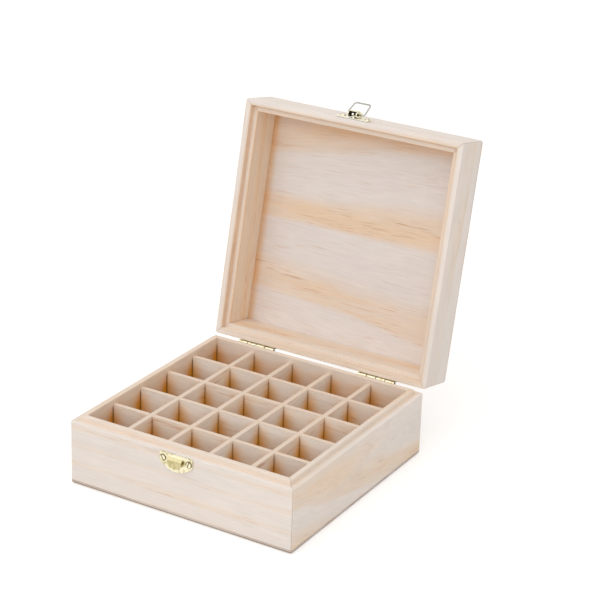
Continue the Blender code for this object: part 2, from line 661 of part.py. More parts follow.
def lever():
    """The toggle lever: a bent channel with round toes on the pin and a small lip at the heel."""
    toe = arc((0, 0), LEVER_TOE_RADIUS, -pi / 2, -pi / 2 - LEVER_TOE_SWEEP, 9)
    crown = lever_crown(0)
    outline = [*toe, *crown, (LEVER_LENGTH, -LEVER_TOE_RADIUS)]
    # Prism coordinates: u up the lid, v outwards, raised across the lever's width.
    columns = Matrix(((0, 0, 1, 0), (0, -1, 0, 0), (1, 0, 0, 0), (0, 0, 0, 1)))
    pin = Vector((FITTINGS_X, -HALF_DEPTH - LEVER_PIN_OUT, LEVER_PIN_Z))
    place = Matrix.Translation(pin) @ columns
    half = LEVER_WIDTH / 2
    bm = prism(outline, -half, half, Matrix.Identity(4))
    ridge = []
    for edge in bm.edges:
        lengthwise = abs(edge.verts[0].co.z - edge.verts[1].co.z) < 1e-7
        if lengthwise and all(v.co.x > -1e-7 and v.co.y > -LEVER_HEEL_INWARD - 1e-7 for v in edge.verts):
            ridge.append(edge)
    bmesh.ops.bevel(
        bm, geom=ridge, offset=LEVER_BEND_RADIUS, segments=3, profile=0.5, affect="EDGES", material=-1
    )
    bmesh.ops.transform(bm, matrix=place, verts=bm.verts[:])
    body = piece_from("catch_lever", bm, BRASS)
    before = -LEVER_TOE_RADIUS - CUT_MARGIN
    above = LEVER_CROWN + CUT_MARGIN
    inner = [(before, above), (-LEVER_WEB_LEAD, above), (-LEVER_WEB_LEAD, LEVER_CROWN - LEVER_SHEET)]
    inner += [*lever_crown(LEVER_SHEET), (LEVER_LENGTH - LEVER_SHEET, before), (before, before)]
    width = half - LEVER_SHEET
    hollow = cutter_from("lever_hollow", prism(inner, -width, width, place))
    boolean(body, "DIFFERENCE", hollow)
    root, tip = (pin.y + inward for inward in LEVER_LIP_INWARD)
    heel = pin.z + LEVER_LENGTH
    lip_path = [(root, heel - LEVER_SHEET / 2), (tip, heel + LEVER_LIP_LENGTH)]
    half_lip = LEVER_LIP_WIDTH / 2
    lip = cutter_from("lever_lip", bent_sheet(lip_path, [FITTINGS_X - half_lip, FITTINGS_X + half_lip]))
    thicken(lip, LEVER_SHEET)
    boolean(body, "UNION", lip)
    bores = bmesh.new()
    long = LEVER_WIDTH + CUT_MARGIN
    foot = (FITTINGS_X, -HALF_DEPTH - FOOT_OUT, FOOT_Z)
    add_cylinder(bores, PIN_RADIUS + RUNNING_GAP, long, pin, (1, 0, 0))
    add_cylinder(bores, WIRE_RADIUS + RUNNING_GAP, long, foot, (1, 0, 0))
    holes = cutter_from("lever_holes", bores)
    boolean(body, "DIFFERENCE", holes)
    return [body, hollow, lip, holes]


def wire_loop():
    """One bent wire: two feet through the lever's cheeks, tapering legs and a straight bar that hooks."""
    cheek = LEVER_WIDTH / 2
    foot_end = cheek - LEVER_SHEET - WIRE_RADIUS
    right = [(foot_end, 0), (LOOP_HALF_WIDTH + LOOP_TAPER, 0), (LOOP_HALF_WIDTH, LOOP_LENGTH)]
    corners = [(x, u, 0) for x, u in right] + [(-x, u, 0) for x, u in reversed(right)]
    half = [Vector(corners[0]), *filleted(corners[:3], LOOP_FOOT_RADIUS, 8)[1:-1]]
    half += filleted(corners[1:4], LOOP_CORNER_RADIUS, 8)[1:-1]
    points = half + [Vector((-p.x, p.y, 0)) for p in reversed(half)]
    curve = bpy.data.curves.new("wire_loop", "CURVE")
    curve.dimensions = "3D"
    curve.bevel_depth = WIRE_RADIUS
    curve.bevel_resolution = 3
    curve.use_fill_caps = True
    spline = curve.splines.new("POLY")
    spline.points.add(len(points) - 1)
    for target, point in zip(spline.points, points):
        target.co = (FITTINGS_X + point.x, -HALF_DEPTH - FOOT_OUT, FOOT_Z + point.y, 1)
    curve.materials.append(MATERIALS[STEEL])
    loop = bpy.data.objects.new("wire_loop", curve)
    PARTS.objects.link(loop)
    return loop


clear_scene()
PARTS = new_collection("essential_oil_box")
CUTTERS = new_collection("cutters")
MATERIALS = {name: new_material(name) for name in FINISHES}

base_case()
lid_pieces = lid_case()
egg_crate()
lid_pieces += hinges()
strike()
lid_pieces += catch_plate()
lever_pieces = lever()
loop = wire_loop()

hinge_axis = (0, HINGE_AXIS_Y, HINGE_AXIS_Z)
pin_axis = (FITTINGS_X, -HALF_DEPTH - LEVER_PIN_OUT, LEVER_PIN_Z)
foot_axis = (FITTINGS_X, -HALF_DEPTH - FOOT_OUT, FOOT_Z)
lid_pivot = new_pivot("lid_pivot", hinge_axis)
lever_pivot = new_pivot("lever_pivot", pin_axis, lid_pivot, hinge_axis)
loop_pivot = new_pivot("loop_pivot", foot_axis, lever_pivot, pin_axis)
attach(lid_pieces, lid_pivot, hinge_axis)
attach(lever_pieces, lever_pivot, pin_axis)
attach([loop], loop_pivot, foot_axis)
lid_pivot.rotation_euler.x = -LID_OPEN_ANGLE
loop_pivot.rotation_euler.x = LOOP_REST_ANGLE
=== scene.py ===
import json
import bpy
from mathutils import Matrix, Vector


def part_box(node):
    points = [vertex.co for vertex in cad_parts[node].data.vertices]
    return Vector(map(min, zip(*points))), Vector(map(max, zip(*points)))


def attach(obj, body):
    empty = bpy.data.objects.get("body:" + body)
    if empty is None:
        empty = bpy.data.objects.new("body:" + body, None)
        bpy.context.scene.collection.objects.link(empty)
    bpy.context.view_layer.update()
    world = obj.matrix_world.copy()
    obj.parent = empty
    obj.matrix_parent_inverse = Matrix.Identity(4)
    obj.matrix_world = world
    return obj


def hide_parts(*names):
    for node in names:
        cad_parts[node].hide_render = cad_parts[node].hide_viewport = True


bl_info = {
    "name": "Essential Oil Storage Box",
    "version": (1, 0, 0),
    "blender": (4, 5, 0),
    "location": "3D View > Sidebar > Oil Box",
    "description": "Dresses the oil box in bare pine, plywood, brass and wire, and sets its studio stage",
    "category": "Object",
}

from math import cos, hypot, pi, radians, sin
from typing import NamedTuple

import bmesh
import bpy
from bpy.props import FloatProperty, FloatVectorProperty, PointerProperty
from mathutils import Matrix, Vector

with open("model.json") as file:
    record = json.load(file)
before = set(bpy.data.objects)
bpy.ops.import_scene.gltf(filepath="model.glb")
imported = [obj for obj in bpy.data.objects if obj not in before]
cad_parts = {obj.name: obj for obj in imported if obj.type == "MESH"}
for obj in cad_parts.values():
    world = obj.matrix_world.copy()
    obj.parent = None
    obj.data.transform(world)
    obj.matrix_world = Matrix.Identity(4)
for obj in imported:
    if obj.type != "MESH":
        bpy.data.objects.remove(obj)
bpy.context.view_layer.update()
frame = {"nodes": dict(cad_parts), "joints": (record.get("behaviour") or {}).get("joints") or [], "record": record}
NODES = frame["nodes"]
JOINTS = {joint["name"]: joint for joint in frame["joints"]}
LID_HINGE = JOINTS["lid_hinge"]
LEVER_HINGE = JOINTS["lever_hinge"]
BODY_OF = {node: body for body, nodes in frame["record"]["behaviour"]["bodies"].items() for node in nodes}

MM = 0.001
RIGHT, LEFT = (1, 0, 0), (-1, 0, 0)
BACK, FRONT = (0, 1, 0), (0, -1, 0)
UP = (0, 0, 1)

MERGED = 0.001 * MM  # vertices nearer than this are one
COPLANAR = radians(1)  # faces that meet at less are one face
CURVED = radians(32)  # faces that meet at less are shaded as one curve
CORNERED = radians(40)  # edges that turn by more are eased
FACING = 0.9  # a face whose normal has more of an axis than this looks along it
SCREW_SIDES = 28
FIRST_SLOT, NEXT_SLOT = 35, 67  # degrees: each screw came tight at another turn

SENSOR = 36.0  # millimetres
FLOOR_REACH = 6.0  # metres, from the middle to the edges
LIT_PLACE = Vector((0.0, 0.0, 0.08))  # what the lamps point at
LAMPS = {  # place and width, in metres
    "key": ((-0.75, -1.25, 1.45), 1.3),
    "front": ((0.7, -1.45, 0.8), 1.2),
    "top": ((0.1, -0.3, 1.9), 1.4),
}


def opened_lid():
    """Turns a place on the shut lid to where it is at rest, thrown open about the hinge pins."""
    hinge = Vector(LID_HINGE["pos_m"])
    swing = Matrix.Rotation(-radians(LID_HINGE["range_deg"][1]), 4, Vector(LID_HINGE["axis"]))
    return Matrix.Translation(hinge) @ swing @ Matrix.Translation(-hinge)


def linear(code):
    """Turns an sRGB hex colour into Blender's linear values."""
    channels = [int(code[start : start + 2], 16) / 255 for start in (0, 2, 4)]
    return tuple(c / 12.92 if c <= 0.04045 else ((c + 0.055) / 1.055) ** 2.4 for c in channels)


def colour(name, description, code):
    """A colour in the panel, given as sRGB hex."""
    return FloatVectorProperty(
        name=name, description=description, default=linear(code), subtype="COLOR", size=3, min=0.0, max=1.0
    )


def length(name, description, millimetres):
    """A length in the panel."""
    return FloatProperty(
        name=name, description=description, default=millimetres * MM, subtype="DISTANCE", unit="LENGTH"
    )


def angle(name, description, degrees):
    """An angle in the panel."""
    return FloatProperty(name=name, description=description, default=radians(degrees), subtype="ANGLE")


def amount(name, description, value):
    """A plain number in the panel, never less than 0."""
    return FloatProperty(name=name, description=description, default=value, min=0.0)


class OilBoxTimber(bpy.types.PropertyGroup):
    """Sizes and colours of the bare wood."""

    earlywood: colour("Earlywood", "Pale wood between the growth bands", "F4E9E0")
    ashen: colour("Ashen wood", "Cooler wood in the quieter patches", "ECE4DD")
    honey: colour("Honey", "Warm wood of a growth band", "F2CA96")
    latewood: colour("Latewood", "Short dark streaks in and beside a growth band", "CF9865")
    # Painted shade: warm colour soaked into the walls' inner faces and rebates, standing in for shade and warm
    # bounced light
    inside: colour("Warmth inside", "Deepens the inner faces, which daylight has not paled", "FCF0DF")
    veneer: colour("Panel earlywood", "Pale wood of the lid's panel", "EBE1DC")
    thin_board: colour("Divider wood", "Pale wood of the dividers", "FFF9F1")
    sanded: colour("Sanded edge", "Top edges of the dividers, rubbed pale", "EAD5C1")
    # Painted shade deep in the cells and toward the crossings
    painted_cell_shade: colour("Warmth in the cells", "Deepens the wood where no daylight reaches", "F4B836")
    seam: colour("Seam", "Dark line where two boards cross", "6E4820")
    # Partly the plywood's own greyer tone, and partly painted shade for the panel's downward-turned edge
    ply_face: colour("Ply face", "Outer plies of the bottom panel", "CFBFB3")
    ply_core: colour("Ply core", "End grain of the bottom panel's middle ply", "A39388")
    fibre: length("Fibre width", "Streaks of single fibres, drawn coarse enough to show", 0.7)
    wall: length("Wall thickness", "Outer face to inner face of a wall", 9.0)
    panel: length("Panel thickness", "Thickness of the lid's panel", 2.4)
    # Reach of that painted warm shade from the inner face across the rim
    reach: length("Warmth's reach", "Inner face of a wall to where its warmth ends, on the rim", 5.3)
    pitch: length("Cell pitch", "From one divider's middle to the next", 34.12)
    divider: length("Divider thickness", "Thickness of the thin boards", 3.6)
    ply: length("Ply thickness", "Thickness of one ply of the bottom panel", 1.0)
    roughness: amount("Roughness", "Sanded wood with no finish on it", 0.6)


class OilBoxMetal(bpy.types.PropertyGroup):
    """Colours and surface of the brass and the wire."""

    brass: colour("Brass", "Bright stamped brass", "F0E9CB")
    brass_shade: colour("Handled brass", "Brass where it has dulled a little", "B2A66E")
    # Painted highlight: a paler copy of the brass for the catch's plate
    bright: colour("Bright plate", "The catch's plate, which the lid's rim keeps from handling", "F5F0E0")
    # Painted shade: a duller copy of the brass for the strike's tongue
    rubbed: colour("Rubbed brass", "The tongue, where the loop has rubbed it duller", "CDC298")
    # Painted shade on the steep rim of a screw's head
    rim: colour("Screw rim", "Steep rim of a screw's head, which no polish reaches", "6A5F2C")
    # Painted shade in slots, hollows, knuckle ends and pins
    painted_hollow_shade: colour("Tarnish", "Brass in slots and hollows that no polish reaches", "2E281A")
    wire: colour("Wire", "Bright steel wire", "B4B3AC")
    scratch: length("Scratch spacing", "Rolling and handling marks, drawn coarse enough to show", 0.25)
    edge: length("Edge rounding", "Rounding of the stamped edges", 0.12)
    hollow: length("Hollow", "Lever's pin to the far end of the hollow inside it", 8.0)
    lug: length("Lug", "Reach of the lug about the lever's pin", 1.8)
    sheet: length("Sheet", "Face of the wood to the face of the strike plate", 1.0)
    knuckle: length("Knuckle", "Reach of the knuckles' ends about the hinge pin", 1.6)


class OilBoxScrew(bpy.types.PropertyGroup):
    """Sizes of the slotted screws."""

    head_radius: length("Head radius", "The head lies on the sheet's face", 2.6)
    crown_radius: length("Crown radius", "Where the low crown turns down to the rim", 2.1)
    dome: length("Dome", "Height of the raised head", 0.95)
    shoulder: length("Shoulder", "Height of the crown's outer edge", 0.6)
    hole_radius: length("Hole radius", "A little smaller than the countersunk hole", 1.6)
    shank_radius: length("Shank radius", "Under the head", 1.0)
    shank_length: length("Shank length", "Head's rim to the point", 7.0)
    slot_width: length("Slot width", "Width of the driver slot", 0.6)
    slot_depth: length("Slot depth", "Depth of the driver slot", 0.5)
    hinge_spacing: length("Hinge screw spacing", "Between the two screws of a leaf", 18.0)
    hinge_drop: length("Hinge screw drop", "Hinge pin to the screws", 7.5)
    plate_spacing: length("Plate screw spacing", "Between the two screws of a plate", 21.3)
    strike_drop: length("Strike screw drop", "Top of the strike plate to its screws", 4.5)
    catch_rise: length("Catch screw rise", "Near edge of the catch plate to its screws", 6.5)
    sheet_hinge: length("Leaf face", "Face of the wood to the face of a hinge leaf", 0.9)
    sheet_plate: length("Plate face", "Face of the wood to the face of a plate", 1.0)


class OilBoxStage(bpy.types.PropertyGroup):
    """The photograph's camera, and the lamps."""

    lens: amount("Lens", "Focal length in millimetres, on a sensor 36 mm wide", 122.669)
    azimuth: angle("Azimuth", "Camera's turn to the right of the box's front", 30.333)
    elevation: angle("Elevation", "Camera's height above the horizon", 22.589)
    roll: angle("Roll", "Camera's turn about its own line of sight", 1.944)
    aim_right: length("Aim right", "Aim, right of the box's origin in the picture", 37.348)
    aim_up: length("Aim up", "Aim, above the box's origin in the picture", 122.329)
    distance: length("Distance", "Camera to the aim", 1494.914)
    room: amount("Room light", "Strength of the even light from all round", 0.72)
    key: amount("Key lamp", "Power of the large lamp at the front left, in watts", 4.8)
    front: amount("Front lamp", "Power of the low lamp beside the camera, in watts", 3.3)
    top: amount("Top lamp", "Power of the lamp overhead, in watts", 3.4)
    paper: colour("Paper", "Floor paper as it lights the box", "E9E6E3")
    paper_lift: amount("Paper lift", "Brings the paper that is seen up to white", 0.42)


# Materials

MATH = "ShaderNodeMath"
VECTOR_MATH = "ShaderNodeVectorMath"
RANGE = "ShaderNodeMapRange"
MIX = "ShaderNodeMix"

PLUS = {"operation": "ADD"}
MINUS = {"operation": "SUBTRACT"}
TIMES = {"operation": "MULTIPLY"}
OVER = {"operation": "DIVIDE"}
TIMES_PLUS = {"operation": "MULTIPLY_ADD"}
EASED = {"interpolation_type": "SMOOTHSTEP"}
LAID_ON = {"data_type": "RGBA", "blend_type": "MIX"}
SOAKED_IN = {"data_type": "RGBA", "blend_type": "MULTIPLY"}

# A Mix node's sockets for colours.
SHARE, UNDER, UPPER, BLENDED = 0, 6, 7, 2

FALLING = {"To Min": 1.0, "To Max": 0.0}  # 1 below a range and 0 above it
FROM_NOISE = {"From Min": 0.3, "From Max": 0.7}  # where nearly all of a noise lies
NOISE_MIDDLE = (0.5, 0.5, 0.5)
WHITE = (1.0, 1.0, 1.0, 1.0)


def add_node(tree, kind, settings=None, inputs=None):
    """Adds a node, with its settings, and sets or links its inputs."""
    node = tree.nodes.new(kind)
    for name, value in (settings or {}).items():
        setattr(node, name, value)
    for key, value in (inputs or {}).items():
        if isinstance(value, bpy.types.NodeSocket):
            tree.links.new(value, node.inputs[key])
        else:
            node.inputs[key].default_value = value
    return node


def new_material(name):
    """A new material, its node tree and its shader."""
    material = bpy.data.materials.new(name)
    material.use_nodes = True
    return material, material.node_tree, material.node_tree.nodes["Principled BSDF"]


def opaque(rgb):
    """A colour with the fourth value that a colour socket takes."""
    return (*rgb, 1.0)


def over_base_colour(material, share, rgb, settings=LAID_ON):
    """Lays a colour on a material's own, or soaks it in, as far as the share says."""
    tree = material.node_tree
    base = tree.nodes["Principled BSDF"].inputs["Base Color"]
    inputs = {SHARE: share, UNDER: base.links[0].from_socket, UPPER: opaque(rgb)}
    tree.links.new(add_node(tree, MIX, settings, inputs).outputs[BLENDED], base)


def board_axes(node, along, across):
    """Object coordinates to a board's own: along the grain, across the face, through the board."""
    grain = Vector(along)
    face = Vector(across)
    if node.startswith("lid_"):
        turn = opened_lid().to_3x3()
        grain = turn @ grain
        face = turn @ face
    rows = Matrix((grain, face, grain.cross(face)))
    low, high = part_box(node)
    return rows.to_4x4() @ Matrix.Translation(-(low + high) / 2)


def board_place(tree, axes):
    """Millimetres along the board's grain, across its face and through it, from its middle."""
    inputs = {
        "Vector": add_node(tree, "ShaderNodeTexCoord").outputs["Object"],
        "Location": axes.translation / MM,
        "Rotation": axes.to_euler(),
        "Scale": (1 / MM,) * 3,
    }
    return add_node(tree, "ShaderNodeMapping", None, inputs).outputs[0]


def stretched_noise(tree, vector, shrink, width, detail, shift=0.0, output="Fac"):
    """Noise whose grains are this many millimetres wide, and longer along the board.

    The shift moves it along and across, so that no two boards are alike.
    """
    inputs = {"Vector": vector, "Scale": (shrink, 1.0, 1.0), "Location": (0.31 * shift, shift, 0.0)}
    drawn_out = add_node(tree, "ShaderNodeMapping", None, inputs).outputs[0]
    inputs = {"Vector": drawn_out, "Scale": 1 / width, "Detail": detail}
    return add_node(tree, "ShaderNodeTexNoise", None, inputs).outputs[output]


def noise_patches(tree, vector, shrink, width, detail, low, high, shift=0.0):
    """Patches of such noise: full where it is above high, and faded out where it is below low."""
    noise = stretched_noise(tree, vector, shrink, width, detail, shift)
    return add_node(tree, RANGE, EASED, {"Value": noise, "From Min": low, "From Max": high}).outputs[0]


class Grain(NamedTuple):
    """How one board was cut. Lengths are in millimetres."""

    ring: float  # from one growth band to the next
    pith: tuple  # the tree's middle, across the board's face and through it
    shift: float  # moves the board along the tree, so that no two are alike
    tilt: float = 1.5  # degrees between the grain and the board's length
    fan: float = 0.0  # growth of the bands' spacing for each millimetre along
    wander: float = 24.0  # how far the grain strays from its line
    bands: float = 0.4  # depth of a growth band's colour
    streaks: float = 0.4  # depth of a latewood streak's colour
    start: float = 0.35  # part of the spacing where a band begins
    full: float = 0.85  # part of the spacing where it reaches its full colour
    whole: float = 0.4  # least strength of a band along its length
    edge: float = 0.1  # part of the spacing over which a band ends
    follow: float = 1.0  # how far the streaks and fibres run with the bands, not with the board


def pine(name, look, axes, pale, grain):
    """Bare softwood, planed and sanded: soft warm growth bands, short latewood streaks and dull fibres."""
    material, tree, shader = new_material(name)
    board = board_place(tree, axes)

    # The grain wanders slowly, leans across the board and opens out along it.
    wander = stretched_noise(
        tree, board, shrink=0.12, width=42.0, detail=2.0, shift=grain.shift, output="Color"
    )
    centred = add_node(tree, VECTOR_MATH, MINUS, {0: wander, 1: NOISE_MIDDLE}).outputs[0]
    inputs = {0: centred, 1: (0.0, grain.wander, grain.wander), 2: board}
    bent = add_node(tree, VECTOR_MATH, TIMES_PLUS, inputs).outputs[0]
    inputs = {"Vector": bent, "Rotation": (0.0, 0.0, radians(grain.tilt))}
    leaning = add_node(tree, "ShaderNodeMapping", None, inputs).outputs[0]
    along, across, through = add_node(tree, "ShaderNodeSeparateXYZ", None, {0: leaning}).outputs
    opening = add_node(tree, MATH, TIMES_PLUS, {0: along, 1: grain.fan, 2: 1.0}).outputs[0]
    closed_up = add_node(tree, MATH, OVER, {0: across, 1: opening}).outputs[0]
    section = add_node(tree, "ShaderNodeCombineXYZ", None, {"X": closed_up, "Y": through}).outputs[0]
    inputs = {0: section, 1: (*grain.pith, 0.0)}
    radius = add_node(tree, VECTOR_MATH, {"operation": "DISTANCE"}, inputs).outputs["Value"]

    # Streaks and fibres run with the bands, as far as the cut lets them.
    straight = add_node(tree, MATH, TIMES, {0: across, 1: 1 - grain.follow}).outputs[0]
    run = add_node(tree, MATH, TIMES_PLUS, {0: radius, 1: grain.follow, 2: straight}).outputs[0]
    moved = add_node(tree, MATH, PLUS, {0: along, 1: grain.shift}).outputs[0]
    rings = add_node(tree, "ShaderNodeCombineXYZ", None, {"X": moved, "Y": run, "Z": through}).outputs[0]

    # A band begins softly, ends at the sharper outer edge of its year's growth, and comes and goes.
    years = add_node(tree, MATH, OVER, {0: radius, 1: grain.ring}).outputs[0]
    part = add_node(tree, MATH, {"operation": "FRACT"}, {0: years}).outputs[0]
    inputs = {"Value": part, "From Min": grain.start, "From Max": grain.full}
    rise = add_node(tree, RANGE, EASED, inputs).outputs[0]
    inputs = {"Value": part, "From Min": 1 - grain.edge, "From Max": 1.0, **FALLING}
    fall = add_node(tree, RANGE, EASED, inputs).outputs[0]
    lively = noise_patches(
        tree, board, shrink=0.2, width=24.0, detail=3.0, low=0.34, high=0.6, shift=2.7 * grain.shift
    )
    unbroken = noise_patches(tree, rings, shrink=0.13, width=11.0, detail=3.0, low=0.36, high=0.6)
    clear = add_node(tree, MATH, TIMES, {0: lively, 1: unbroken}).outputs[0]
    inputs = {0: clear, 1: 1 - grain.whole, 2: grain.whole}
    strength = add_node(tree, MATH, TIMES_PLUS, inputs).outputs[0]
    band = add_node(tree, MATH, TIMES, {0: rise, 1: fall}).outputs[0]
    band = add_node(tree, MATH, TIMES, {0: band, 1: strength}).outputs[0]

    # Streaks crowd into the bands, with a few between them.
    few = 0.4
    short = noise_patches(tree, rings, shrink=0.035, width=0.9, detail=2.0, low=0.54, high=0.7)
    crowd = noise_patches(tree, rings, shrink=0.14, width=7.0, detail=2.0, low=0.38, high=0.66)
    nearby = add_node(tree, MATH, PLUS, {0: band, 1: few}).outputs[0]
    crowd = add_node(tree, MATH, TIMES, {0: crowd, 1: nearby}).outputs[0]
    streak = add_node(tree, MATH, TIMES, {0: short, 1: crowd}).outputs[0]

    # The quieter patches are cooler.
    most_ashen = 0.55
    inputs = {0: lively, 1: -most_ashen, 2: most_ashen}
    ashen = add_node(tree, MATH, TIMES_PLUS, inputs).outputs[0]
    warm = add_node(tree, MATH, TIMES, {0: band, 1: grain.bands}).outputs[0]
    late = add_node(tree, MATH, TIMES, {0: streak, 1: grain.streaks}).outputs[0]
    tone = opaque(pale)
    for share, rgb in ((ashen, look.ashen), (warm, look.honey), (late, look.latewood)):
        inputs = {SHARE: share, UNDER: tone, UPPER: opaque(rgb)}
        tone = add_node(tree, MIX, LAID_ON, inputs).outputs[BLENDED]

    # Single fibres and broader patches are a little lighter or darker than the rest.
    fibres = stretched_noise(tree, rings, shrink=0.03, width=look.fibre / MM, detail=4.0)
    mottle = stretched_noise(tree, rings, shrink=0.25, width=5.0, detail=4.0)
    for noise, darkest, lightest in ((fibres, 0.955, 1.035), (mottle, 0.975, 1.02)):
        inputs = {"Value": noise, **FROM_NOISE, "To Min": darkest, "To Max": lightest}
        shade = add_node(tree, RANGE, None, inputs).outputs[0]
        inputs = {SHARE: 1.0, UNDER: tone, UPPER: shade}
        tone = add_node(tree, MIX, SOAKED_IN, inputs).outputs[BLENDED]
    tree.links.new(tone, shader.inputs["Base Color"])

    smoothest = look.roughness - 0.05
    roughest = look.roughness + 0.08
    inputs = {"Value": fibres, **FROM_NOISE, "To Min": smoothest, "To Max": roughest}
    tree.links.new(add_node(tree, RANGE, None, inputs).outputs[0], shader.inputs["Roughness"])

    # Sanding wears the hard streaks less than the fibres between them.
    proud = 0.6
    relief = add_node(tree, MATH, TIMES_PLUS, {0: streak, 1: proud, 2: fibres}).outputs[0]
    inputs = {"Height": relief, "Strength": 0.35, "Distance": 0.05 * MM}
    bump = add_node(tree, "ShaderNodeBump", None, inputs).outputs[0]
    tree.links.new(bump, shader.inputs["Normal"])
    shader.inputs["IOR"].default_value = 1.5
    return material


def height_of(tree):
    """Height above the floor, for what stands upright."""
    place = add_node(tree, "ShaderNodeTexCoord").outputs["Object"]
    return add_node(tree, "ShaderNodeSeparateXYZ", None, {0: place}).outputs["Z"]


def plywood(name, look, axes):
    """Three-ply: pale face plies and a darker end-grain core that shows in the panel's edge."""
    grain = Grain(30.0, (20.0, 160.0), 70.0, bands=0.4)
    material = pine(name, look, axes, look.ply_face, grain)
    tree = material.node_tree
    height = height_of(tree)
    blur = 0.1 * look.ply
    inputs = {"Value": height, "From Min": look.ply - blur, "From Max": look.ply + blur}
    above = add_node(tree, RANGE, EASED, inputs).outputs[0]
    inputs = {"Value": height, "From Min": 2 * look.ply - blur, "From Max": 2 * look.ply + blur, **FALLING}
    below = add_node(tree, RANGE, EASED, inputs).outputs[0]
    core = add_node(tree, MATH, TIMES, {0: above, 1: below}).outputs[0]
    over_base_colour(material, core, look.ply_core)
    return material


def through_board(tree, axes):
    """Millimetres from a board's middle plane, less than 0 towards the inside of the box."""
    return add_node(tree, "ShaderNodeSeparateXYZ", None, {0: board_place(tree, axes)}).outputs["Z"]


def inner_face(tree, axes, thickness, depth=0.0):
    """1 on a board's inner face and as far into the board as depth, 0 outside."""
    end = (depth - thickness / 2) / MM
    full = end + 0.4
    gone = end + 1.0
    inputs = {"Value": through_board(tree, axes), "From Min": full, "From Max": gone, **FALLING}
    return add_node(tree, RANGE, EASED, inputs).outputs[0]


def wall_pine(name, look, axes, grain, warmth):
    """Board of a wall: as sanded outside, with painted warm shade on its rebate and, by the warmth, on its inner
    face.
    """
    material = pine(name, look, axes, look.earlywood, grain)
    tree = material.node_tree
    # Painted shade: the rebate and the inner face are soaked warmer, as shade and warm bounced light would make
    # them
    rebate_warmth = 0.5
    inputs = {0: inner_face(tree, axes, look.wall, look.reach), 1: rebate_warmth}
    rebate = add_node(tree, MATH, TIMES, inputs).outputs[0]
    inputs = {0: inner_face(tree, axes, look.wall), 1: warmth, 2: rebate}
    inside = add_node(tree, MATH, TIMES_PLUS, inputs).outputs[0]
    over_base_colour(material, inside, look.inside, SOAKED_IN)

    # Painted shade: the foot of the rebate, a line along the rim's middle, takes the deepest colour, where the lip
    # shades the ledge.
    foot = -0.6
    deepest = 0.8
    inputs = {0: through_board(tree, axes), 1: foot}
    from_foot = add_node(tree, MATH, MINUS, inputs).outputs[0]
    away = add_node(tree, MATH, {"operation": "ABSOLUTE"}, {0: from_foot}).outputs[0]
    inputs = {"Value": away, "From Min": 0.2, "From Max": 1.8, "To Min": deepest * warmth, "To Max": 0.0}
    line = add_node(tree, RANGE, EASED, inputs).outputs[0]
    over_base_colour(material, line, look.honey, SOAKED_IN)
    return material


def panel_pine(name, look, axes, grain):
    """Veneer of the lid's panel, with painted warm shade inside the box beside the left wall and the front one."""
    material = pine(name, look, axes, look.veneer, grain)
    tree = material.node_tree
    place = add_node(tree, "ShaderNodeSeparateXYZ", None, {0: board_place(tree, axes)}).outputs
    # The case is square, so both walls' inner faces lie as far from the panel's middle.
    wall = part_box("lid_left_wall")[1].x / MM
    # Painted shade: honey soaked in beside the two walls that shade the panel and throw warm light on it
    sides = []
    for axis, reach, deepest in (("X", 8.0, 0.85), ("Y", 18.0, 0.4)):
        inputs = {
            "Value": place[axis],
            "From Min": wall,
            "From Max": wall + reach,
            "To Min": deepest,
            "To Max": 0.0,
        }
        sides.append(add_node(tree, RANGE, EASED, inputs).outputs[0])
    left, front = sides
    both = add_node(tree, MATH, PLUS, {0: left, 1: front}).outputs[0]
    inputs = {0: both, 1: inner_face(tree, axes, look.panel)}
    golden = add_node(tree, MATH, TIMES, inputs).outputs[0]
    over_base_colour(material, golden, look.honey, SOAKED_IN)
    return material


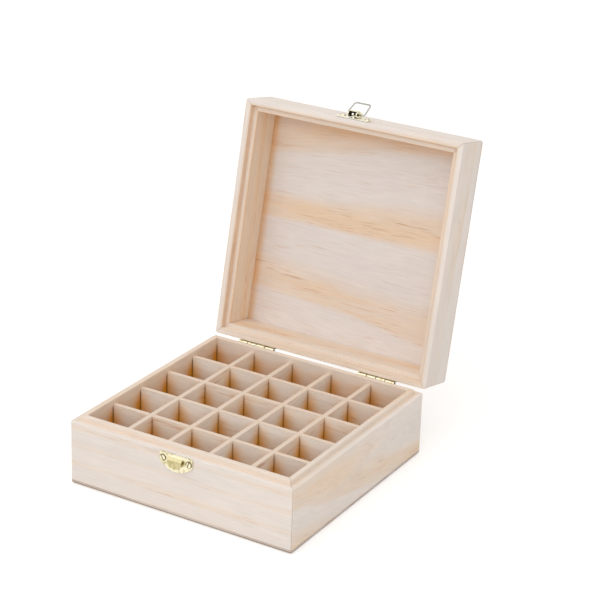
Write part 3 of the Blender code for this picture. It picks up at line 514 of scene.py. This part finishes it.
def paint_cell_shade_and_seams(material, look, along, top, where):
    """Paints shade into the wood low in the cells and toward the crossings, and draws the seams of the joints.

    where says how much painted shade a face takes: about 1 in the cells, and 0 on a wall's other faces.
    """
    tree = material.node_tree
    place = add_node(tree, "ShaderNodeTexCoord").outputs["Object"]
    axis, low_painted_shade = ("X", 0.24) if along in (RIGHT, LEFT) else ("Y", 0.36)
    lengthwise = add_node(tree, "ShaderNodeSeparateXYZ", None, {0: place}).outputs[axis]

    # The middle cell's middle is at 0, so the crossings are at the half pitches.
    cells = add_node(tree, MATH, OVER, {0: lengthwise, 1: look.pitch}).outputs[0]
    part = add_node(tree, MATH, {"operation": "FRACT"}, {0: cells}).outputs[0]
    from_crossing = add_node(tree, MATH, MINUS, {0: part, 1: 0.5}).outputs[0]
    away = add_node(tree, MATH, {"operation": "ABSOLUTE"}, {0: from_crossing}).outputs[0]
    away = add_node(tree, MATH, TIMES_PLUS, {0: away, 1: look.pitch, 2: -look.divider / 2}).outputs[0]
    depth = add_node(tree, MATH, MINUS, {0: top, 1: height_of(tree)}).outputs[0]

    # The painted shade deepens down the cell, and toward a crossing over about a dozen millimetres.
    corner_painted_shade = 0.78
    inputs = {"Value": depth, "From Min": 0.0, "From Max": 20 * MM, "To Max": low_painted_shade}
    low = add_node(tree, RANGE, EASED, inputs).outputs[0]
    nearness = {"From Min": -3 * MM, "From Max": 13 * MM}
    beside = add_node(tree, RANGE, EASED, {"Value": away, **nearness, **FALLING}).outputs[0]
    down = add_node(tree, RANGE, EASED, {"Value": depth, **nearness}).outputs[0]
    corner = add_node(tree, MATH, TIMES, {0: beside, 1: down}).outputs[0]
    golden = add_node(tree, MATH, TIMES_PLUS, {0: corner, 1: corner_painted_shade, 2: low}).outputs[0]
    golden = add_node(tree, MATH, TIMES, {0: golden, 1: where}).outputs[0]
    over_base_colour(material, golden, look.painted_cell_shade, SOAKED_IN)

    darkest = 0.5
    inputs = {"Value": away, "From Min": 0.2 * MM, "From Max": 1.3 * MM, **FALLING}
    line = add_node(tree, RANGE, EASED, inputs).outputs[0]
    inputs = {"Value": depth, "From Min": 0.4 * MM, "From Max": 4 * MM, "To Max": darkest}
    dark = add_node(tree, RANGE, EASED, inputs).outputs[0]
    seam = add_node(tree, MATH, TIMES, {0: line, 1: dark}).outputs[0]
    seam = add_node(tree, MATH, TIMES, {0: seam, 1: where}).outputs[0]
    over_base_colour(material, seam, look.seam)


def thin_pine(name, look, axes, grain, along, top):
    """Thin board of the same wood, with painted shade low in the cells, and rubbed pale along its top edge."""
    material = pine(name, look, axes, look.thin_board, grain)
    paint_cell_shade_and_seams(material, look, along, top, 1.0)
    tree = material.node_tree
    palest = 0.95
    inputs = {
        "Value": height_of(tree),
        "From Min": top - 0.5 * MM,
        "From Max": top - 0.1 * MM,
        "To Max": palest,
    }
    crest = add_node(tree, RANGE, EASED, inputs).outputs[0]
    over_base_colour(material, crest, look.sanded)
    return material


def stamped_brass(name, look, fresh, dull):
    """Thin brass sheet, stamped and tumbled: bright, with dulled patches and faint marks."""
    material, tree, shader = new_material(name)
    place = add_node(tree, "ShaderNodeTexCoord").outputs["Object"]
    patch = 3 * MM
    dullest = 0.8
    inputs = {"Vector": place, "Scale": 1 / patch, "Detail": 3.0}
    handled = add_node(tree, "ShaderNodeTexNoise", None, inputs).outputs[0]
    inputs = {"Value": handled, "From Min": 0.44, "From Max": 0.7, "To Max": dullest}
    patches = add_node(tree, RANGE, EASED, inputs).outputs[0]
    inputs = {SHARE: patches, UNDER: opaque(fresh), UPPER: opaque(dull)}
    tree.links.new(add_node(tree, MIX, LAID_ON, inputs).outputs[BLENDED], shader.inputs["Base Color"])

    # The marks are drawn out along the sheet, which was rolled and rubbed that way.
    length_of_mark = 8 * look.scratch
    inputs = {
        "Vector": place,
        "Rotation": (0.0, radians(20), radians(8)),
        "Scale": (1 / length_of_mark, 1 / look.scratch, 1 / look.scratch),
    }
    marks = add_node(tree, "ShaderNodeMapping", None, inputs).outputs[0]
    inputs = {"Vector": marks, "Scale": 1.0, "Detail": 3.0}
    scratches = add_node(tree, "ShaderNodeTexNoise", None, inputs).outputs[0]
    inputs = {"Value": scratches, **FROM_NOISE, "To Min": 0.2, "To Max": 0.36}
    tree.links.new(add_node(tree, RANGE, None, inputs).outputs[0], shader.inputs["Roughness"])
    dents = 4.0
    relief = add_node(tree, MATH, TIMES_PLUS, {0: handled, 1: dents, 2: scratches}).outputs[0]
    inputs = {"Height": relief, "Strength": 0.25, "Distance": 0.06 * MM}
    tree.links.new(add_node(tree, "ShaderNodeBump", None, inputs).outputs[0], shader.inputs["Normal"])
    shader.inputs["Metallic"].default_value = 1.0
    return material


def painted_shade_brass(name, look):
    """Brass painted nearly black as shade in slots, grooves and hollows."""
    material, tree, shader = new_material(name)
    place = add_node(tree, "ShaderNodeTexCoord").outputs["Object"]
    spot = 1 * MM
    inputs = {"Vector": place, "Scale": 1 / spot, "Detail": 2.0}
    grime = add_node(tree, "ShaderNodeTexNoise", None, inputs).outputs[0]
    inputs = {"Value": grime, **FROM_NOISE, "To Min": 0.45, "To Max": 0.65}
    tree.links.new(add_node(tree, RANGE, None, inputs).outputs[0], shader.inputs["Roughness"])
    shader.inputs["Base Color"].default_value = opaque(look.painted_hollow_shade)
    shader.inputs["Metallic"].default_value = 1.0
    return material


def bright_wire(name, look):
    """Cold-drawn steel wire, bright nickel plated: greyer and smoother than the brass."""
    material, tree, shader = new_material(name)
    place = add_node(tree, "ShaderNodeTexCoord").outputs["Object"]
    patch = 1.5 * MM
    inputs = {"Vector": place, "Scale": 1 / patch, "Detail": 2.0}
    handled = add_node(tree, "ShaderNodeTexNoise", None, inputs).outputs[0]
    inputs = {"Value": handled, "To Min": 0.14, "To Max": 0.34}
    tree.links.new(add_node(tree, RANGE, None, inputs).outputs[0], shader.inputs["Roughness"])
    shader.inputs["Base Color"].default_value = opaque(look.wire)
    shader.inputs["Metallic"].default_value = 1.0
    return material


# Pieces


def new_piece(name, bm, materials, body):
    """Makes a bmesh a piece of the scene, with its materials and the body that it rides on."""
    mesh = bpy.data.meshes.new(name)
    bm.to_mesh(mesh)
    bm.free()
    mesh.shade_smooth()
    mesh.set_sharp_from_angle(angle=CURVED)
    for material in materials:
        mesh.materials.append(material)
    piece = bpy.data.objects.new(name, mesh)
    bpy.context.scene.collection.objects.link(piece)
    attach(piece, body)
    return piece


def smoothed(node, materials, edge, picked=None):
    """A copy of a metal node with smooth curves and eased stamped edges, shown in its place.

    The faces for which picked is true, by their middle and normal, take the second material.
    """
    bm = bmesh.new()
    bm.from_mesh(NODES[node].data)
    bmesh.ops.remove_doubles(bm, verts=bm.verts, dist=MERGED)
    bmesh.ops.dissolve_limit(bm, angle_limit=COPLANAR, verts=bm.verts, edges=bm.edges)
    if picked:
        for face in bm.faces:
            face.material_index = int(picked(face.calc_center_median(), face.normal))
    piece = new_piece(f"bright_{node}", bm, materials, BODY_OF[node])
    if edge:
        bevel = piece.modifiers.new("eased edges", "BEVEL")
        bevel.width = edge
        bevel.segments = 2
        bevel.limit_method = "ANGLE"
        bevel.angle_limit = CORNERED
        bevel.use_clamp_overlap = True
    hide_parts(node)


def screw_outline(size):
    """Half of a screw's section, from the crown's top by its steep rim to the point: radius and height."""
    rim = size.head_radius
    crown = size.crown_radius
    shank = size.shank_radius
    hole = size.hole_radius
    rise = size.dome - size.shoulder
    steps = (0.0, 0.35, 0.7, 1.0)
    dome = [(crown * step, size.dome - rise * step * step) for step in steps]
    halfway = (0.4 * crown + 0.6 * rim, 0.75 * size.shoulder)
    steep = [halfway, (rim, 0.3 * size.shoulder), (rim, 0.0)]
    countersunk = [(hole, 0.0), (shank, shank - hole)]
    point = [(shank, -0.8 * size.shank_length), (0.0, -size.shank_length)]
    return [*dome, *steep, *countersunk, *point]


def screw_mesh(size, slot_turn, place):
    """A slotted screw with a raised head. Its rim lies in the place's plane and +Z points out.

    Its slot and its shank take the second material, painted shade, and its steep rim takes the third, painted
    shade too.
    """
    bm = bmesh.new()
    verts = [bm.verts.new((radius, 0.0, z)) for radius, z in screw_outline(size)]
    edges = [bm.edges.new(pair) for pair in zip(verts, verts[1:])]
    geom = [*verts, *edges]
    bmesh.ops.spin(
        bm, geom=geom, cent=(0, 0, 0), axis=UP, angle=2 * pi, steps=SCREW_SIDES, use_merge=True
    )
    bmesh.ops.remove_doubles(bm, verts=bm.verts, dist=MERGED)
    half = size.slot_width / 2
    for side in (-half, half):
        geom = [*bm.verts, *bm.edges, *bm.faces]
        bmesh.ops.bisect_plane(bm, geom=geom, plane_co=(side, 0, 0), plane_no=RIGHT, dist=MERGED)
    bmesh.ops.recalc_face_normals(bm, faces=bm.faces)

    # The slot is cut by lowering the strip of the dome between the two planes.
    slot = []
    for face in bm.faces:
        middle = face.calc_center_median()
        on_dome = middle.z > 0.8 * size.shoulder and face.normal.z > 0.3
        if on_dome and abs(middle.x) < half:
            slot.append(face)
    edges = {edge for face in slot for edge in face.edges}
    made = bmesh.ops.extrude_face_region(bm, geom=[*slot, *edges])["geom"]
    for vert in (item for item in made if isinstance(item, bmesh.types.BMVert)):
        vert.co.z = size.dome - size.slot_depth
    bmesh.ops.recalc_face_normals(bm, faces=bm.faces)

    wall = 0.01 * MM  # the slot's sides count as slot
    for face in bm.faces:
        middle = face.calc_center_median()
        if abs(middle.x) < half + wall or middle.z < 0.0:
            face.material_index = 1
        elif hypot(middle.x, middle.y) > 0.98 * size.crown_radius:
            face.material_index = 2
    bmesh.ops.transform(bm, matrix=place @ Matrix.Rotation(slot_turn, 4, "Z"), verts=bm.verts)
    return bm


def finish_node(node, material):
    """Gives a CAD node a finished material."""
    NODES[node].material_slots[0].material = material


class OILBOX_OT_base_boards(bpy.types.Operator):
    """Finish the base's four boards in bare pine, each with its own grain"""

    bl_idname = "oil_box.base_boards"
    bl_label = "Base boards"

    def execute(self, context):
        look = context.scene.oil_box_timber
        divider_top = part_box("lengthwise_divider_1")[1].z
        faint = {"tilt": 0.5, "wander": 12.0, "bands": 0.21, "streaks": 0.35, "start": 0.55, "edge": 0.06}
        sweeping = {"tilt": 12.0, "bands": 0.44, "streaks": 0.2, "start": 0.2, "full": 0.6, "whole": 0.6}
        boards = {  # way of the grain, how much painted shade the board takes in the cells, and its cut
            "base_front_wall": (RIGHT, 1.0, Grain(13.3, (126.0, -40.0), 40.0, **faint)),
            "base_right_wall": (BACK, 1.0, Grain(24.0, (46.0, -70.0), 310.0, **sweeping)),
            "base_back_wall": (LEFT, 1.0, Grain(15.0, (-34.0, -60.0), 620.0, bands=0.25)),
            "base_left_wall": (FRONT, 1.35, Grain(16.0, (42.0, -40.0), 930.0, bands=0.3)),
        }
        for node, (along, gold, grain) in boards.items():
            axes = board_axes(node, along, UP)
            material = wall_pine(f"pine {node}", look, axes, grain, 0.0)
            tree = material.node_tree
            # Painted shade in the cells, on the inner face only
            inputs = {0: inner_face(tree, axes, look.wall), 1: gold}
            painted_shade_share = add_node(tree, MATH, TIMES, inputs).outputs[0]
            paint_cell_shade_and_seams(material, look, along, divider_top, painted_shade_share)
            finish_node(node, material)
        return {"FINISHED"}


class OILBOX_OT_bottom_panel(bpy.types.Operator):
    """Finish the bottom panel in plywood, its plies showing in the edge"""

    bl_idname = "oil_box.bottom_panel"
    bl_label = "Bottom panel"

    def execute(self, context):
        look = context.scene.oil_box_timber
        axes = board_axes("bottom_panel", RIGHT, BACK)
        finish_node("bottom_panel", plywood("three-ply bottom", look, axes))
        return {"FINISHED"}


class OILBOX_OT_dividers(bpy.types.Operator):
    """Finish the egg crate's thin boards"""

    bl_idname = "oil_box.dividers"
    bl_label = "Dividers"

    def execute(self, context):
        look = context.scene.oil_box_timber
        # Each board comes from another part of the tree.
        for number in range(1, 5):
            pith = (26.0 - 13.0 * number, 40.0 + 9.0 * number)
            for kind, along, shift in (("lengthwise", RIGHT, 0.0), ("crosswise", BACK, 85.0)):
                node = f"{kind}_divider_{number}"
                grain = Grain(13.0, pith, 170.0 * number + shift, bands=0.4, streaks=0.65)
                axes = board_axes(node, along, UP)
                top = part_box(node)[1].z
                finish_node(node, thin_pine(f"thin pine {node}", look, axes, grain, along, top))
        return {"FINISHED"}


class OILBOX_OT_lid_boards(bpy.types.Operator):
    """Finish the lid's four boards and its panel in bare pine"""

    bl_idname = "oil_box.lid_boards"
    bl_label = "Lid boards"

    def execute(self, context):
        look = context.scene.oil_box_timber
        front = Grain(18.0, (30.0, -58.0), 140.0, bands=0.16)
        right = Grain(15.0, (-26.0, -48.0), 450.0, bands=0.25, streaks=0.2)
        back = Grain(17.0, (28.0, -44.0), 760.0, bands=0.5, streaks=0.6)
        left = Grain(11.0, (-33.0, -52.0), 1070.0, bands=0.5, streaks=0.8)
        boards = {  # way of the grain, how much painted warm shade the board takes inside, and its cut
            "lid_front_wall": (RIGHT, 0.3, front),
            "lid_right_wall": (BACK, 0.4, right),
            "lid_back_wall": (LEFT, 0.1, back),
            "lid_left_wall": (FRONT, 0.45, left),
        }
        for node, (along, warmth, grain) in boards.items():
            axes = board_axes(node, along, UP)
            finish_node(node, wall_pine(f"pine {node}", look, axes, grain, warmth))

        # The panel comes from far out in the tree, so its bands run nearly straight.
        broad = {"start": 0.42, "full": 0.68, "edge": 0.12, "whole": 0.5, "follow": 0.4}
        grain = Grain(62.0, (-617.0, 0.0), 0.0, tilt=1.0, fan=0.0022, bands=0.58, streaks=0.7, **broad)
        axes = board_axes("lid_panel", RIGHT, BACK)
        finish_node("lid_panel", panel_pine("pine lid panel", look, axes, grain))
        return {"FINISHED"}


class OILBOX_OT_hinges(bpy.types.Operator):
    """Show the hinges in smooth bright brass"""

    bl_idname = "oil_box.hinges"
    bl_label = "Hinges"

    def execute(self, context):
        look = context.scene.oil_box_metal
        brass = stamped_brass("rolled brass hinge", look, look.brass, look.brass_shade)
        dark = painted_shade_brass("tarnished hinge pin", look)
        pin = Vector(LID_HINGE["pos_m"])
        edge = 0.5 * look.edge  # rolled leaves are crisper than stamped plates

        # The knuckles' ends and the pins take the painted shade
        def knuckle_end(middle, normal):
            """Whether a face is the end of a knuckle."""
            return abs(normal.x) > FACING and hypot(middle.y - pin.y, middle.z - pin.z) < look.knuckle

        for side in ("left", "right"):
            for part in ("base_leaf", "lid_leaf"):
                smoothed(f"{side}_hinge_{part}", [brass, dark], edge, knuckle_end)
            smoothed(f"{side}_hinge_pin", [dark], edge)
        return {"FINISHED"}


class OILBOX_OT_catch(bpy.types.Operator):
    """Show the strike, the catch's plate and lever in stamped brass, and its loop in bright wire"""

    bl_idname = "oil_box.catch"
    bl_label = "Catch"

    def execute(self, context):
        look = context.scene.oil_box_metal
        brass = stamped_brass("stamped brass catch", look, look.brass, look.brass_shade)
        # A duller copy of the brass paints shade on the tongue
        rubbed = stamped_brass("rubbed brass tongue", look, look.rubbed, look.brass_shade)
        # A paler copy of the brass paints a highlight on the catch's plate
        bright = stamped_brass("bright brass plate", look, look.bright, look.brass)
        # The lever's hollow, the lug's sides and the catch's pin take the painted shade
        dark = painted_shade_brass("tarnished brass hollow", look)
        wire = bright_wire("nickel-plated wire", look)
        lever = opened_lid().to_3x3() @ Vector(UP)
        pin = Vector(LEVER_HINGE["pos_m"])
        plate_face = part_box("base_front_wall")[0].y - look.sheet

        def from_axis(middle):
            """From the nearest place on the hollow lever's middle line to a face."""
            reach = (middle - pin).dot(lever)
            return middle - pin - lever * min(max(reach, 0.0), look.hollow)

        def in_lever(middle, normal):
            """Whether a face looks inward, toward that line."""
            away = from_axis(middle)
            return normal.dot(away) < -0.5 * away.length

        def on_lug(middle, normal):
            """Whether a face is a side of the lug that carries the pin."""
            return from_axis(middle).length < look.lug and abs(normal.x) > FACING

        def on_tongue(middle, _normal):
            """Whether a face stands out in front of the plate, and takes the painted shade."""
            return middle.y < plate_face - look.edge

        smoothed("strike_plate", [brass, rubbed], look.edge, on_tongue)
        smoothed("catch_plate", [bright, dark], look.edge, on_lug)
        smoothed("catch_lever", [brass, dark], look.edge, in_lever)
        smoothed("catch_pin", [dark], look.edge)
        smoothed("wire_loop", [wire], 0.0)
        return {"FINISHED"}


def pair_about(low, high, spacing):
    """Two places this far apart, about the middle of a box's width."""
    middle = (low.x + high.x) / 2
    return middle - spacing / 2, middle + spacing / 2


class OILBOX_OT_screws(bpy.types.Operator):
    """Drive a slotted screw into each countersunk hole"""

    bl_idname = "oil_box.screws"
    bl_label = "Screws"

    def execute(self, context):
        size = context.scene.oil_box_screw
        look = context.scene.oil_box_metal
        brass = stamped_brass("turned brass screw", look, look.brass, look.brass_shade)
        # The slots and shanks take the painted shade
        slot = painted_shade_brass("tarnished screw slot", look)
        # Painted shade: a dark copy of the brass on the steep rims of the screws, and none on the catch's screws
        rim = stamped_brass("dulled screw rim", look, look.rim, look.rim)
        dulled = [brass, slot, rim]
        without_rim_shade = [brass, slot, brass]
        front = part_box("base_front_wall")[0].y - size.sheet_plate
        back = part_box("base_back_wall")[1].y + size.sheet_hinge
        parting = LID_HINGE["pos_m"][2]
        to_front = Matrix.Rotation(radians(90), 4, "X")
        to_back = Matrix.Rotation(radians(-90), 4, "X")
        open_lid = opened_lid()
        places = []
        for side in ("left", "right"):
            low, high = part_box(f"{side}_hinge_base_leaf")
            for number, x in enumerate(pair_about(low, high, size.hinge_spacing), 1):
                under = Matrix.Translation((x, back, parting - size.hinge_drop)) @ to_back
                over = Matrix.Translation((x, back, parting + size.hinge_drop)) @ to_back
                places.append((f"{side}_hinge_base_screw_{number}", under, "base", dulled))
                places.append((f"{side}_hinge_lid_screw_{number}", open_lid @ over, "lid", dulled))

        # The catch's plate begins as far above the parting line as the strike plate ends below it.
        low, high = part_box("strike_plate")
        inset = parting - high.z
        for number, x in enumerate(pair_about(low, high, size.plate_spacing), 1):
            under = Matrix.Translation((x, front, high.z - size.strike_drop)) @ to_front
            over = Matrix.Translation((x, front, parting + inset + size.catch_rise)) @ to_front
            places.append((f"strike_screw_{number}", under, "base", dulled))
            places.append((f"catch_screw_{number}", open_lid @ over, "lid", without_rim_shade))
        for index, (name, place, body, metals) in enumerate(places):
            slot_turn = radians(FIRST_SLOT + NEXT_SLOT * index)
            new_piece(name, screw_mesh(size, slot_turn, place), metals, body)
        return {"FINISHED"}


class OILBOX_OT_stage(bpy.types.Operator):
    """Set the pale floor, the soft lamps and the photograph's camera"""

    bl_idname = "oil_box.stage"
    bl_label = "Stage"

    def execute(self, context):
        look = context.scene.oil_box_stage
        self.lay_floor(context, look)
        self.hang_world(context, look)
        for name, (place, width) in LAMPS.items():
            self.hang_lamp(context, f"{name}_lamp", place, width, getattr(look, name))
        self.stand_camera(context, look)
        context.scene.view_settings.view_transform = "Standard"
        return {"FINISHED"}

    def lay_floor(self, context, look):
        """Lays the background paper, a hair clear of the bottom panel."""
        clear = 0.1 * MM
        bm = bmesh.new()
        bmesh.ops.create_grid(bm, x_segments=1, y_segments=1, size=FLOOR_REACH)
        bmesh.ops.translate(bm, verts=bm.verts, vec=(0, 0, -clear))
        mesh = bpy.data.meshes.new("paper_floor")
        bm.to_mesh(mesh)
        bm.free()
        material, tree, shader = new_material("white background paper")
        shader.inputs["Base Color"].default_value = opaque(look.paper)
        shader.inputs["Roughness"].default_value = 1.0
        shader.inputs["Specular IOR Level"].default_value = 0.0
        # What is seen is the lit paper, with its shadow, brought up to the white of the background.
        shader.inputs["Emission Color"].default_value = WHITE
        inputs = {0: self.seen_directly(tree), 1: look.paper_lift}
        lift = add_node(tree, MATH, TIMES, inputs).outputs[0]
        tree.links.new(lift, shader.inputs["Emission Strength"])
        mesh.materials.append(material)
        floor = bpy.data.objects.new("paper_floor", mesh)
        context.scene.collection.objects.link(floor)

    def hang_world(self, context, look):
        """Lights the box evenly from all round, and shows white behind it."""
        world = bpy.data.worlds.new("studio")
        world.use_nodes = True
        context.scene.world = world
        tree = world.node_tree
        room = tree.nodes["Background"]
        room.inputs["Color"].default_value = WHITE
        room.inputs["Strength"].default_value = look.room
        white = add_node(tree, "ShaderNodeBackground", None, {"Color": WHITE, "Strength": 1.0})
        inputs = {0: self.seen_directly(tree), 1: room.outputs[0], 2: white.outputs[0]}
        both = add_node(tree, "ShaderNodeMixShader", None, inputs).outputs[0]
        tree.links.new(both, tree.nodes["World Output"].inputs["Surface"])

    def seen_directly(self, tree):
        """1 for what the camera sees, straight or in metal, and 0 for the light that falls on the box."""
        path = add_node(tree, "ShaderNodeLightPath")
        shown = path.outputs["Is Camera Ray"]
        for ray in ("Is Glossy Ray", "Is Transmission Ray"):
            inputs = {0: shown, 1: path.outputs[ray]}
            shown = add_node(tree, MATH, {"operation": "MAXIMUM"}, inputs).outputs[0]
        return shown

    def hang_lamp(self, context, name, place, width, power):
        """Hangs a round, soft lamp that points at the box."""
        light = bpy.data.lights.new(name, "AREA")
        light.shape = "DISK"
        light.size = width
        light.energy = power
        lamp = bpy.data.objects.new(name, light)
        lamp.location = place
        lamp.rotation_euler = (Vector(place) - LIT_PLACE).to_track_quat("Z", "Y").to_euler()
        context.scene.collection.objects.link(lamp)

    def stand_camera(self, context, look):
        """Places the camera by its angles, and by where the box's origin lies in the picture."""
        sideways = sin(look.azimuth) * cos(look.elevation)
        forward = cos(look.azimuth) * cos(look.elevation)
        back = Vector((sideways, -forward, sin(look.elevation)))
        level = Vector(UP).cross(back).normalized()
        upright = back.cross(level)
        right = level * cos(look.roll) + upright * sin(look.roll)
        up = upright * cos(look.roll) - level * sin(look.roll)
        place = right * look.aim_right + up * look.aim_up + back * look.distance
        data = bpy.data.cameras.new("photograph_camera")
        data.sensor_width = SENSOR
        data.lens = look.lens
        data.clip_start = 50 * MM
        camera = bpy.data.objects.new("photograph_camera", data)
        camera.matrix_world = Matrix.Translation(place) @ Matrix((right, up, back)).transposed().to_4x4()
        context.scene.collection.objects.link(camera)
        context.scene.camera = camera


OPERATORS = (
    OILBOX_OT_base_boards,
    OILBOX_OT_bottom_panel,
    OILBOX_OT_dividers,
    OILBOX_OT_lid_boards,
    OILBOX_OT_hinges,
    OILBOX_OT_catch,
    OILBOX_OT_screws,
    OILBOX_OT_stage,
)
LOOKS = {
    "oil_box_timber": OilBoxTimber,
    "oil_box_metal": OilBoxMetal,
    "oil_box_screw": OilBoxScrew,
    "oil_box_stage": OilBoxStage,
}


class OILBOX_PT_panel(bpy.types.Panel):
    """Buttons and sizes of the oil box"""

    bl_idname = "OILBOX_PT_panel"
    bl_label = "Essential Oil Box"
    bl_space_type = "VIEW_3D"
    bl_region_type = "UI"
    bl_category = "Oil Box"

    def draw(self, context):
        layout = self.layout
        for operator in OPERATORS:
            layout.operator(operator.bl_idname)
        for name, group in LOOKS.items():
            box = layout.box()
            for key in group.__annotations__:
                box.prop(getattr(context.scene, name), key)


def register():
    for cls in (*LOOKS.values(), *OPERATORS, OILBOX_PT_panel):
        bpy.utils.register_class(cls)
    for name, group in LOOKS.items():
        setattr(bpy.types.Scene, name, PointerProperty(type=group))


def unregister():
    for name in LOOKS:
        delattr(bpy.types.Scene, name)
    for cls in reversed((*LOOKS.values(), *OPERATORS, OILBOX_PT_panel)):
        bpy.utils.unregister_class(cls)


def main():
    register()
    bpy.ops.oil_box.base_boards()
    bpy.ops.oil_box.bottom_panel()
    bpy.ops.oil_box.dividers()
    bpy.ops.oil_box.lid_boards()
    bpy.ops.oil_box.hinges()
    bpy.ops.oil_box.catch()
    bpy.ops.oil_box.screws()
    bpy.ops.oil_box.stage()


if __name__ == "__main__":
    main()
